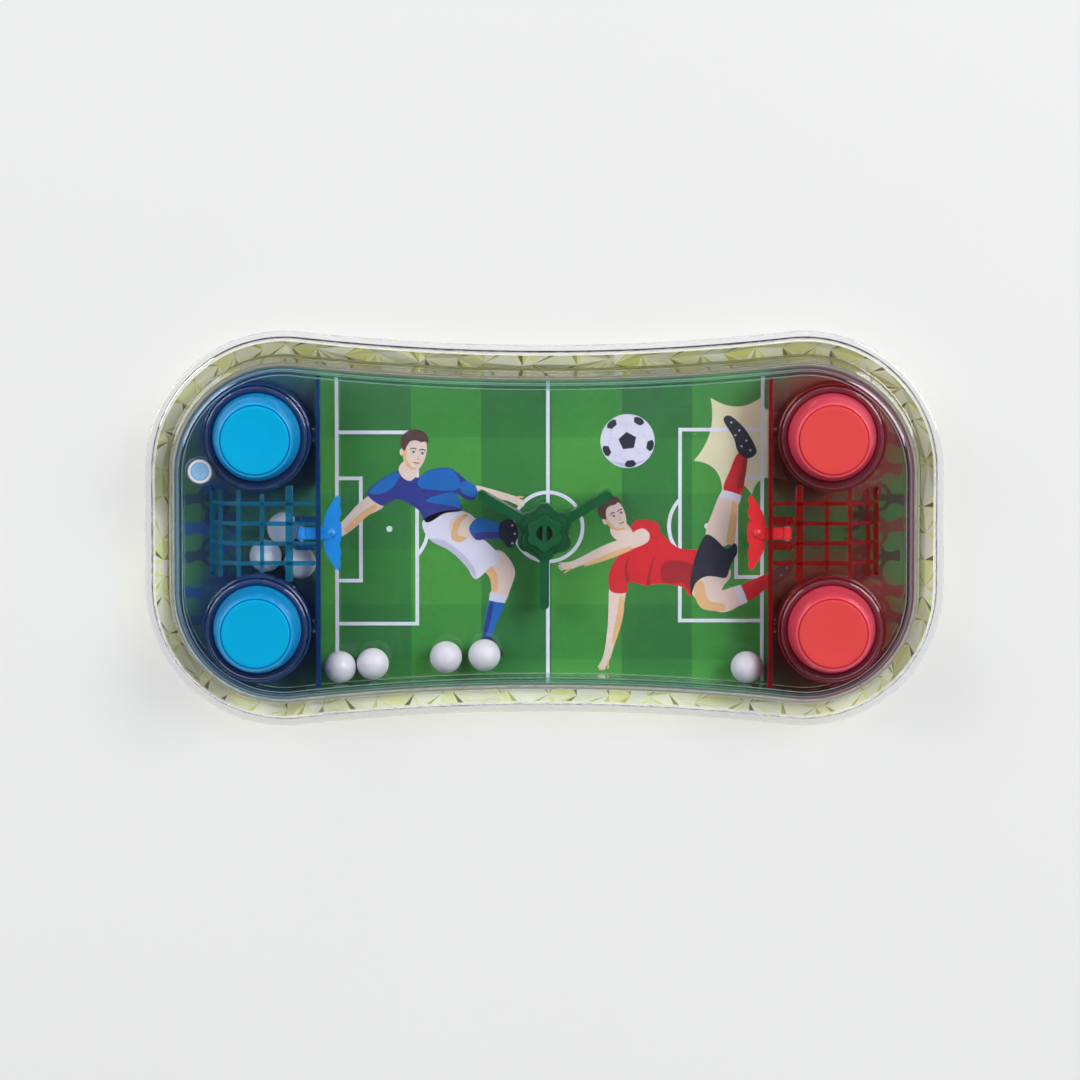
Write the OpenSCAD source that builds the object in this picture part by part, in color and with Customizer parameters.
// Handheld two-player football water game.
// Units are millimetres. +Z is up. The origin is the bottom centre of the case,
// +X points to the red end and +Y to the far long side.

/* [Case] */
// Overall length of the case
case_length = 200; // [160:1:240]
// Width of the case across its two end lobes
lobe_width = 99.2; // [80:0.2:120]
// Width of the case across its waist
waist_width = 92; // [70:1:110]
// Radius of the four outer corners
corner_radius = 35; // [25:1:45]
// Height of the underside of the clear flange
flange_height = 11; // [8:0.5:16]
// Thickness of the flange
flange_thickness = 1.6; // [1:0.1:3]
// Height of the top of the clear face
face_height = 26.6; // [22:0.2:32]
// Thickness of the tank walls and face
wall = 1.6; // [1.2:0.1:2.5]

/* [Insets from the outer outline] */
// Inset of the inside of the outer lip
lip_inset = 2; // [1:0.1:4]
// Inset of the outside of the tank wall
tank_inset = 6.2; // [5:0.1:9]
// Inset of the outer side of the inner tub
tub_inset = 8.2; // [7:0.1:11]
// Inset of the flat face on top
face_inset = 10.2; // [8:0.1:13]

/* [Buttons] */
// Distance of the button centres from the middle, along the case
button_x = 71.5; // [66:0.5:76]
// Distance of the button centres from the middle, across the case
button_y = 24; // [20:0.5:27]
// Radius of the button at its foot
button_radius = 11; // [9:0.1:12]
// Radius of the pad on top of the button
pad_radius = 8.5; // [7:0.1:10]
// Height of the top of the button
button_height = 35.4; // [31:0.1:38]
// Radius of the hole in the cover round a button
collar_radius = 12.1; // [11.5:0.1:13]
// How far a button travels when it is pushed
button_travel = 4; // [2:0.5:5]

/* [Goals] */
// Distance of the partitions from the middle
partition_x = 56.2; // [50:0.1:58]
// Thickness of the partitions
partition_thickness = 1.2; // [0.8:0.1:2]
// Half width of the goal mouth
mouth_half_width = 11.5; // [9:0.5:13]
// Clear height of the goal mouth
mouth_height = 8.4; // [8.2:0.1:9]
// Width of one bar of the goal net
net_bar = 1.1; // [0.8:0.1:1.6]

/* [Play] */
// Radius of a ball
ball_radius = 4; // [3:0.1:4.1]
// Reach of the spinner's paddles
paddle_reach = 19.3; // [15:0.1:22]
// Thickness of a paddle
paddle_thickness = 2.4; // [1.6:0.1:3]
// Radius of the spinner's post
post_radius = 2; // [1.5:0.1:2.5]

/* [Hidden] */
$fn = 96;
e = 0.01;

// Colours
crystal_yellow = [0.85, 0.86, 0.45, 0.7];
clear_plastic = [0.86, 0.92, 0.95, 0.35];
card_green = [0.25, 0.58, 0.26];
blue_tint = [0.0, 0.45, 0.72, 0.6];
red_tint = [0.72, 0.06, 0.1, 0.6];
blue_cap = [0.0, 0.63, 0.85];
red_cap = [0.88, 0.28, 0.28];
dark_rubber = [0.08, 0.07, 0.2];
blue_figure = [0.04, 0.5, 0.85];
red_figure = [0.84, 0.13, 0.16];
pin_steel = [0.75, 0.76, 0.78];
spinner_green = [0.06, 0.4, 0.22];
plug_blue = [0.6, 0.76, 0.9];
ball_white = [0.93, 0.92, 0.96];

// Outline: corner arcs joined by straight ends and by concave waist arcs
half_length = case_length / 2;
half_lobe = lobe_width / 2;
half_waist = waist_width / 2;
corner_x = half_length - corner_radius;
corner_y = half_lobe - corner_radius;
// The waist arc is tangent to both corner arcs: solved from the two centre distances
waist_radius = (corner_x * corner_x + pow(half_waist - corner_y, 2) - pow(corner_radius, 2))
    / (2 * (corner_radius - (half_waist - corner_y)));
waist_centre = half_waist + waist_radius;
waist_fn = 720;

// Levels
flange_top = flange_height + flange_thickness;
floor_top = flange_top;
face_bottom = face_height - wall;
lip_bottom = flange_height - 3;
tray_floor = 1.8;
tub_top = 22;
card_bottom = 10.4;
card_thickness = 0.5;
ball_level = floor_top + ball_radius;
gap = 0.1;

// Steps of the tray, tank wall and face, each [inset, height of its top]
tray_outside = [[6.4, 2.4], [5, 5.2], [3.7, 8], [lip_inset + 0.2, flange_height - gap]];
tray_inside = [[8.6, 2.6], [7.2, 5.4], [5.9, 8.2], [4.6, flange_height + 1]];
shoulder_inset = tank_inset + 1.9;
tank_outside = [[tank_inset, 21], [tank_inset + 0.7, 23.6], [shoulder_inset, face_bottom]];
tank_inside = [[tank_inset + wall, 22.3], [tank_inset + 3.6, face_bottom + 1]];
face_outside = [[shoulder_inset, face_bottom + 0.5], [face_inset, face_height]];
card_post_radius = 2.5;
card_post_y = 24;
card_post_pitch = 38;

// Buttons and pumps
collar_height = 1.8;
collar_wall = 0.6;
pump_radius = 13.6;
pump_wall = 0.8;
button_foot = face_bottom - 0.5;
button_skin = 1.5;
stem_radius = 5;
pad_dish = 0.4;
button_flange_bottom = 22.2;
button_flange_top = 23.5;
button_flange_radius = 12.5;
seal_bottom = 23.7;
bellows_top = 24.2;
bellows_folds = 5;
bellows_radius = 9.2;
bellows_depth = 1.4;
bellows_skin = 0.7;
nozzle_level = floor_top + 3;
nozzle_radius = 1.8;
nozzle_bore = 1;

// Keepers
axle_x = 60.4;
axle_level = 22.7;
axle_radius = 0.6;
running_gap = 0.05;
hub_radius = 1.25;
bar_width = 3.1;
bar_thickness = 1.2;
keeper_x = 53;
keeper_reach = 9.2;
arm_bottom = 20;
arm_top = 22.8;
torso_bottom = 14.4;
torso_foot_radius = 1.1;
torso_radius = 2.1;
head_radius = 1.6;
head_level = 22;

// Lugs and slot of the partitions
lug_gap = 3.1;
lug_width = 1;
lug_bottom = 21.2;
lug_end = axle_x + hub_radius + 0.4;
slot_half_width = 2.2;
slot_top = 24.3;

// Nets
net_front = partition_x + partition_thickness / 2 + gap;
net_back = 83.4;
net_roof = face_bottom - 0.4;
net_floor = floor_top + gap;
net_half_width = 11;
rib_spacing = 4.95;

// Spinner
boss_steps = [[6.6, 1], [4.4, 3], [post_radius, 10.2]];
post_top = floor_top + 10.2;
paddle_bottom = 14.6;
paddle_top = 21.4;
hub_steps = [[7.3, 21.6], [6.1, 22.9], [4.6, 24.2]];
hub_bottom = 17;
hub_top = 24.2;
bridge_width = 1.1;

// Port and plug
port_x = -85.4;
port_y = 15.7;
port_radius = 2.6;
port_seat = 3.1;
port_ring = 3.75;
port_ring_height = 1.3;
plug_radius = 3;
plug_bottom = face_height + 0.25;
plug_top = face_height + 1.5;

// Balls: five along the near wall of the pitch and three in the blue goal
BALLS = [
    [-51.1, -34.2], [-42.9, -33.4], [-24.6, -31.7], [-15, -31.2], [50.6, -34.2],
    [-69.6, -6.3], [-61, -8], [-65.2, 0.6]
];

// ---------- shared shapes ----------

// The case outline, moved inwards by inset
module outline(inset) {
    radius = corner_radius - inset;
    lean = atan2(corner_x, waist_centre - corner_y);
    join_x = corner_x - radius * sin(lean);
    join_y = corner_y + radius * cos(lean);
    for (sx = [-1, 1], sy = [-1, 1])
        translate([sx * corner_x, sy * corner_y])
            circle(r = radius);
    square([2 * (half_length - inset), 2 * corner_y], center = true);
    square([2 * corner_x, 2 * corner_y + radius], center = true);
    difference() {
        square([2 * join_x, 2 * join_y], center = true);
        for (sy = [-1, 1])
            translate([0, sy * waist_centre])
                circle(r = waist_radius + inset, $fn = waist_fn);
    }
}

// A layer of the case outline between two heights
module layer(inset, bottom, top) {
    translate([0, 0, bottom])
        linear_extrude(top - bottom)
            outline(inset);
}

// A stack of layers: each step is [inset, height of its top]
module stack(bottom, steps) {
    for (i = [0 : len(steps) - 1])
        layer(steps[i][0], i == 0 ? bottom : steps[i - 1][1] - e, steps[i][1]);
}

// A flat ring between two heights
module ring(inner, outer, bottom, top) {
    translate([0, 0, bottom])
        difference() {
            cylinder(r = outer, h = top - bottom);
            translate([0, 0, -1])
                cylinder(r = inner, h = top - bottom + 2);
        }
}

// Places its children at one button: end is -1 for blue or 1 for red, side is 1 for far or -1 for near
module at_button(end, side) {
    translate([end * button_x, side * button_y, 0])
        children();
}

// Turns a shape made for the red end round to the other end
module at_end(end) {
    mirror([end < 0 ? 1 : 0, 0, 0])
        children();
}

// ---------- case ----------

module base_tray() {
    color(crystal_yellow) {
        difference() {
            stack(0, tray_outside);
            stack(tray_floor, tray_inside);
        }
        // Posts under the card
        for (i = [-2 : 2], side = [-1, 1])
            translate([i * card_post_pitch, side * card_post_y, tray_floor - e])
                cylinder(r = card_post_radius, h = card_bottom - tray_floor);
    }
}

// The clear upper shell is one moulding, given as its wall with the flange and as its face
module clear_cover() {
    color(clear_plastic)
        difference() {
            union() {
                layer(0, flange_height, flange_top);
                difference() {
                    layer(0, lip_bottom, flange_height + e);
                    layer(lip_inset, lip_bottom - 1, flange_height + 1);
                }
                stack(flange_top - e, tank_outside);
            }
            stack(flange_height - 1, tank_inside);
        }
}

module cover_face() {
    color(clear_plastic)
        difference() {
            union() {
                stack(face_bottom, face_outside);
                for (end = [-1, 1], side = [-1, 1])
                    at_button(end, side)
                        translate([0, 0, face_bottom])
                            cylinder(r = collar_radius + collar_wall, h = wall + collar_height);
                translate([port_x, port_y, face_bottom])
                    cylinder(r = port_ring, h = wall + port_ring_height);
            }
            for (end = [-1, 1], side = [-1, 1])
                at_button(end, side)
                    cylinder(r = collar_radius, h = face_height + collar_height + 1);
            // Port with a wider seat for its plug
            translate([port_x, port_y, 0]) {
                cylinder(r = port_radius, h = face_height + 1);
                translate([0, 0, face_height])
                    cylinder(r = port_seat, h = port_ring_height + 1);
            }
        }
}

module tank_tub() {
    color(clear_plastic) {
        layer(tank_inset + wall + gap, flange_height, floor_top);
        difference() {
            layer(tub_inset, floor_top - e, tub_top);
            layer(tub_inset + wall, floor_top - 1, tub_top + 1);
        }
        // Spinner post on its stepped boss
        translate([0, 0, floor_top - e])
            for (step = boss_steps)
                cylinder(r = step[0], h = step[1] + e);
    }
}

module pitch_card() {
    color(card_green)
        layer(tub_inset + 0.2, card_bottom, card_bottom + card_thickness);
}

// ---------- buttons and pumps ----------

module pump(end, side, tint) {
    color(tint)
        at_button(end, side)
            difference() {
                union() {
                    ring(pump_radius - pump_wall, pump_radius, floor_top, face_bottom - gap);
                    // Nozzle that points at the pitch
                    translate([0, 0, nozzle_level])
                        rotate([0, -90 * end, 0])
                            cylinder(r = nozzle_radius,
                                h = button_x - partition_x - partition_thickness / 2 - gap);
                }
                translate([0, 0, floor_top - 1])
                    cylinder(r = pump_radius - pump_wall, h = face_bottom);
                translate([0, 0, nozzle_level])
                    rotate([0, -90 * end, 0])
                        cylinder(r = nozzle_bore, h = button_x);
            }
}

// Rubber bellows: a closed top cap on a folded wall
module bellows(end, side) {
    height = bellows_top - bellows_skin - floor_top - gap;
    pitch = height / bellows_folds;
    outer = [for (i = [0 : 2 * bellows_folds])
        [bellows_radius - (i % 2) * bellows_depth, i * pitch / 2]];
    inner = [for (i = [2 * bellows_folds : -1 : 0])
        [bellows_radius - (i % 2) * bellows_depth - bellows_skin, i * pitch / 2]];
    color(dark_rubber)
        at_button(end, side)
            translate([0, 0, floor_top + gap]) {
                rotate_extrude()
                    polygon(concat(outer, inner));
                translate([0, 0, height - e])
                    cylinder(r = bellows_radius, h = bellows_skin);
            }
}

module seal(end, side) {
    color(dark_rubber)
        at_button(end, side)
            ring(button_radius + running_gap, pump_radius - pump_wall - gap,
                seal_bottom, face_bottom - gap);
}

// Hollow cap with a retaining flange, sloping side, dished pad and a stem that pushes the bellows
module button(end, side, cap) {
    shoulder = button_height - 1.2;
    ceiling = shoulder - button_skin;
    color(cap)
        at_button(end, side)
            rotate_extrude()
                polygon([
                    [stem_radius, bellows_top + gap], [stem_radius, ceiling],
                    [pad_radius - 1.2, ceiling], [button_radius - button_skin, button_foot],
                    [button_radius - button_skin, button_flange_bottom],
                    [button_flange_radius, button_flange_bottom],
                    [button_flange_radius, button_flange_top], [button_radius, button_flange_top],
                    [button_radius, button_foot], [pad_radius + 0.5, shoulder],
                    [pad_radius, button_height - 0.3], [pad_radius - 0.6, button_height],
                    [pad_radius - 1.4, button_height], [0, button_height - pad_dish],
                    [0, bellows_top + gap]
                ]);
}

// ---------- goals ----------

module partition(end, tint) {
    half = partition_thickness / 2;
    top = face_bottom - gap;
    color(tint)
        at_end(end)
            difference() {
                union() {
                    intersection() {
                        translate([partition_x - half, -half_lobe, floor_top])
                            cube([partition_thickness, lobe_width, top - floor_top]);
                        layer(tub_inset + wall + gap, 0, face_bottom);
                    }
                    // Lugs that carry the keeper's pin
                    for (side = [-1, 1])
                        translate([partition_x, side * (lug_gap + lug_width / 2) - lug_width / 2, lug_bottom])
                            cube([lug_end - partition_x, lug_width, top - lug_bottom]);
                }
                // Goal mouth
                translate([partition_x - 2, -mouth_half_width, floor_top - 1])
                    cube([4, 2 * mouth_half_width, mouth_height + 1]);
                // Slot for the keeper's bar
                translate([partition_x - 2, -slot_half_width, floor_top])
                    cube([4, 2 * slot_half_width, slot_top - floor_top]);
                // Hole for the pin
                translate([axle_x, -10, axle_level])
                    rotate([-90, 0, 0])
                        cylinder(r = axle_radius, h = 20);
                // Water holes in front of the nozzles
                for (side = [-1, 1])
                    translate([partition_x - 3, side * button_y, nozzle_level])
                        rotate([0, 90, 0])
                            cylinder(r = nozzle_bore, h = 6);
            }
}

// One rib of the net, seen from the side: along the roof and bent down at the back
module net_rib() {
    polygon([
        [net_front, net_roof], [76.5, net_roof], [81, net_roof - 3], [net_back, net_roof - 7],
        [net_back, net_floor], [net_back - net_bar, net_floor], [net_back - net_bar, net_roof - 6.7],
        [80.2, net_roof - 3.4], [76, net_roof - net_bar], [net_front, net_roof - net_bar]
    ]);
}

// A bar across the net
module net_cross_bar(x, half_width, width, drop) {
    translate([x - width / 2, -half_width, net_roof - net_bar - drop])
        cube([width, 2 * half_width, net_bar]);
}

module goal_net(end, tint) {
    color(tint)
        at_end(end) {
            for (i = [-1.5 : 1.5])
                translate([0, i * rib_spacing + net_bar / 2, 0])
                    rotate([90, 0, 0])
                        linear_extrude(net_bar)
                            net_rib();
            net_cross_bar(63.4, 12, 1.9, 0);
            net_cross_bar(70.2, 9.9, net_bar, 0);
            net_cross_bar(76, net_half_width, net_bar, 0.1);
            net_cross_bar(80.6, net_half_width, net_bar, 3.2);
            for (drop = [7, 10.6])
                net_cross_bar(net_back - net_bar / 2, net_half_width, net_bar, drop);
            // Side posts at the back
            for (side = [-1, 1])
                translate([net_back - net_bar, side * (net_half_width - net_bar / 2) - net_bar / 2, net_floor])
                    cube([net_bar, net_bar, net_roof - 7 - net_floor]);
        }
}

// Goalkeeper with spread arms, on a bar that rocks on the cross pin
module keeper(end, paint) {
    color(paint)
        at_end(end)
            difference() {
                union() {
                    translate([0, 0, arm_bottom])
                        linear_extrude(arm_top - arm_bottom)
                            keeper_arms();
                    translate([keeper_x, 0, 0])
                        keeper_torso();
                    // Bar and hub
                    translate([keeper_x, -bar_width / 2, axle_level - bar_thickness / 2])
                        cube([axle_x - keeper_x, bar_width, bar_thickness]);
                    translate([axle_x, bar_width / 2, axle_level])
                        rotate([90, 0, 0])
                            cylinder(r = hub_radius, h = bar_width);
                }
                translate([axle_x, -10, axle_level])
                    rotate([-90, 0, 0])
                        cylinder(r = axle_radius + running_gap, h = 20);
            }
}

// Tapering torso, shoulders and head
module keeper_torso() {
    translate([0, 0, torso_bottom])
        cylinder(r1 = torso_foot_radius, r2 = torso_radius, h = arm_bottom + 1 - torso_bottom);
    translate([0, 0, arm_bottom])
        cylinder(r = torso_radius, h = arm_top - arm_bottom - 0.2);
    translate([0, 0, head_level])
        sphere(r = head_radius);
}

// Arms seen from above: a bow whose tips lean towards the pitch
module keeper_arms() {
    half = [
        [55, 1.6], [54.5, 4.6], [53.3, 7.2], [51.9, 8.9], [51.1, keeper_reach],
        [50.9, 7.2], [50.6, 4], [51, 1.9], [50.5, 0.8]
    ];
    for (sy = [0, 1])
        mirror([0, sy, 0])
            polygon(concat([[50.5, -e], [55, -e]], half));
}

module keeper_pin(end) {
    length = 2 * (lug_gap + lug_width);
    color(pin_steel)
        at_end(end)
            translate([axle_x, length / 2, axle_level])
                rotate([90, 0, 0])
                    cylinder(r = axle_radius, h = length);
}

// ---------- spinner ----------

// Six-lobed outline of one step of the spinner's hub
module flower(size) {
    lobe = 0.3 * size;
    circle(r = 0.86 * size);
    for (a = [30 : 60 : 330])
        rotate(a)
            translate([size - lobe, 0])
                circle(r = lobe);
}

module paddle() {
    half = paddle_thickness / 2;
    translate([0, -half, paddle_bottom])
        cube([paddle_reach - half, paddle_thickness, paddle_top - paddle_bottom]);
    translate([paddle_reach - half, 0, paddle_bottom])
        cylinder(r = half, h = paddle_top - paddle_bottom);
}

// Stepped flower on three paddles, turning on the post
module spinner() {
    clearance = 0.3;
    color(spinner_green) {
        difference() {
            union() {
                for (step = hub_steps)
                    translate([0, 0, hub_bottom])
                        linear_extrude(step[1] - hub_bottom)
                            flower(step[0]);
                difference() {
                    for (a = [30, 150, 270])
                        rotate(a)
                            paddle();
                    // Room for the boss under the hub
                    translate([0, 0, floor_top])
                        cylinder(r = 7, h = hub_bottom - floor_top);
                }
            }
            translate([0, 0, floor_top])
                cylinder(r = post_radius + running_gap, h = 20);
        }
        // Bridge over the post
        translate([-bridge_width / 2, -post_radius - 0.5, post_top + clearance])
            cube([bridge_width, 2 * post_radius + 1, hub_top - post_top - clearance]);
    }
}

// ---------- plug and balls ----------

// Short plug pressed into the ring of the port, with a dimple on top
module fill_plug() {
    chamfer = 0.4;
    dimple = 1.2;
    color(plug_blue)
        translate([port_x, port_y, 0])
            rotate_extrude()
                polygon([
                    [0, plug_bottom], [plug_radius - chamfer, plug_bottom],
                    [plug_radius, plug_bottom + chamfer], [plug_radius, plug_top - chamfer],
                    [plug_radius - chamfer, plug_top], [dimple, plug_top],
                    [dimple - 0.2, plug_top - 0.2], [0, plug_top - 0.2]
                ]);
}

module ball(i) {
    color(ball_white)
        translate([BALLS[i].x, BALLS[i].y, ball_level])
            sphere(r = ball_radius);
}

// ---------- nodes ----------

base_tray();
clear_cover();
cover_face();
tank_tub();
pitch_card();
partition(-1, blue_tint);  // blue_partition
partition(1, red_tint);  // red_partition
goal_net(-1, blue_tint);  // blue_goal_net
goal_net(1, red_tint);  // red_goal_net
pump(-1, 1, blue_tint);  // blue_pump_far
pump(-1, -1, blue_tint);  // blue_pump_near
pump(1, 1, red_tint);  // red_pump_far
pump(1, -1, red_tint);  // red_pump_near
bellows(-1, 1);  // blue_bellows_far
bellows(-1, -1);  // blue_bellows_near
bellows(1, 1);  // red_bellows_far
bellows(1, -1);  // red_bellows_near
seal(-1, 1);  // blue_seal_far
seal(-1, -1);  // blue_seal_near
seal(1, 1);  // red_seal_far
seal(1, -1);  // red_seal_near
button(-1, 1, blue_cap);  // blue_button_far
button(-1, -1, blue_cap);  // blue_button_near
button(1, 1, red_cap);  // red_button_far
button(1, -1, red_cap);  // red_button_near
keeper(-1, blue_figure);  // blue_keeper
keeper(1, red_figure);  // red_keeper
keeper_pin(-1);  // blue_keeper_pin
keeper_pin(1);  // red_keeper_pin
spinner();
fill_plug();
ball(0);  // ball_1
ball(1);  // ball_2
ball(2);  // ball_3
ball(3);  // ball_4
ball(4);  // ball_5
ball(5);  // ball_6
ball(6);  // ball_7
ball(7);  // ball_8
